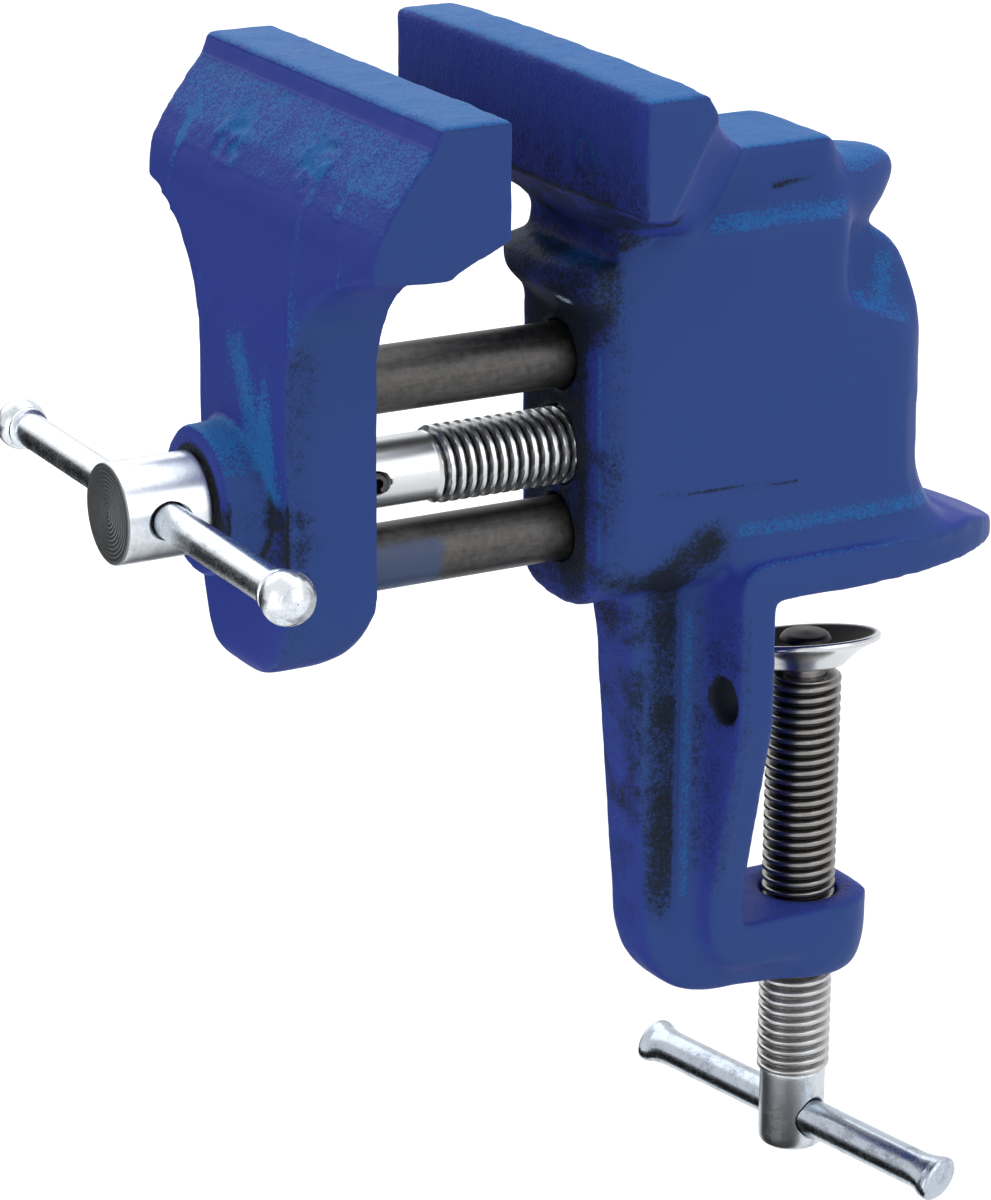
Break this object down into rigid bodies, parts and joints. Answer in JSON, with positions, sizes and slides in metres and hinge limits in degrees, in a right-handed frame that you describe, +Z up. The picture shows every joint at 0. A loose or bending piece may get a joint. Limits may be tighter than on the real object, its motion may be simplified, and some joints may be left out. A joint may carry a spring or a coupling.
{
  "type": "clamp-on bench vise",
  "caption": "Clamp-on bench vise: cast body with anvil and C-frame, sliding jaw on two guide bars, screw spindle with tommy bar, and clamp screw with swivel pad.",
  "frame": {"origin": "on the underside of the table, the face that rests on the bench, straight above the axis of the clamp screw", "axes": "+Z up, +X along the jaws, -Y towards the main spindle's handle, +Y towards the anvil and the rear of the table"},
  "size_m": [0.0988, 0.1521, 0.1874],
  "materials": {
    "blue_enamel": "semi-gloss enamel over a sand-cast skin",
    "dark_bar_steel": "dark drawn bar with a trace of oil",
    "zinc_plated_steel": "bright zinc plate over turned steel",
    "oiled_screw_steel": "oiled thread with bright crests",
    "bright_pad_steel": "bright pressed steel"
  },
  "bodies": {
    "body": {"vise_body": "blue_enamel"},
    "jaw": {"moving_jaw": "blue_enamel", "guide_bar_upper": "dark_bar_steel", "guide_bar_lower": "dark_bar_steel"},
    "spindle": {"main_spindle": "zinc_plated_steel", "thrust_washer": "zinc_plated_steel", "spindle_roll_pin": "dark_bar_steel"},
    "handle": {"main_tommy_bar": "zinc_plated_steel", "tommy_knob_near": "zinc_plated_steel", "tommy_knob_far": "zinc_plated_steel"},
    "pad": {"swivel_pad": "bright_pad_steel"},
    "clamp": {"clamp_screw": "oiled_screw_steel"},
    "clamp_handle": {"clamp_tommy_bar": "zinc_plated_steel"}
  },
  "joints": [
    {"name": "jaw_slide", "type": "slide", "parent": "body", "child": "jaw", "axis": [0, 1, 0], "range_m": [-0.0286, 0.0212]},
    {"name": "spindle_turn", "type": "hinge", "parent": "jaw", "child": "spindle", "pos_m": [0, -0.1195, 0.0243], "axis": [0, 1, 0], "range_deg": [-5890, 4370]},
    {"name": "handle_slide", "type": "slide", "parent": "spindle", "child": "handle", "axis": [1, 0, 0], "range_m": [-0.0326, 0.0352]},
    {"name": "pad_lift", "type": "slide", "parent": "body", "child": "pad", "axis": [0, 0, 1], "range_m": [-0.035, 0.0108]},
    {"name": "clamp_turn", "type": "hinge", "parent": "pad", "child": "clamp", "pos_m": [0, 0, -0.0198], "axis": [0, 0, 1], "range_deg": [-7205, 2230]},
    {"name": "clamp_handle_slide", "type": "slide", "parent": "clamp", "child": "clamp_handle", "axis": [0.981, 0.1942, 0], "range_m": [-0.0225, 0.0225]}
  ],
  "couplings": [
    {"joint": "spindle_turn", "follows": "jaw_slide", "rad_per_m": 3590.4},
    {"joint": "clamp_turn", "follows": "pad_lift", "rad_per_m": 3590.4}
  ]
}
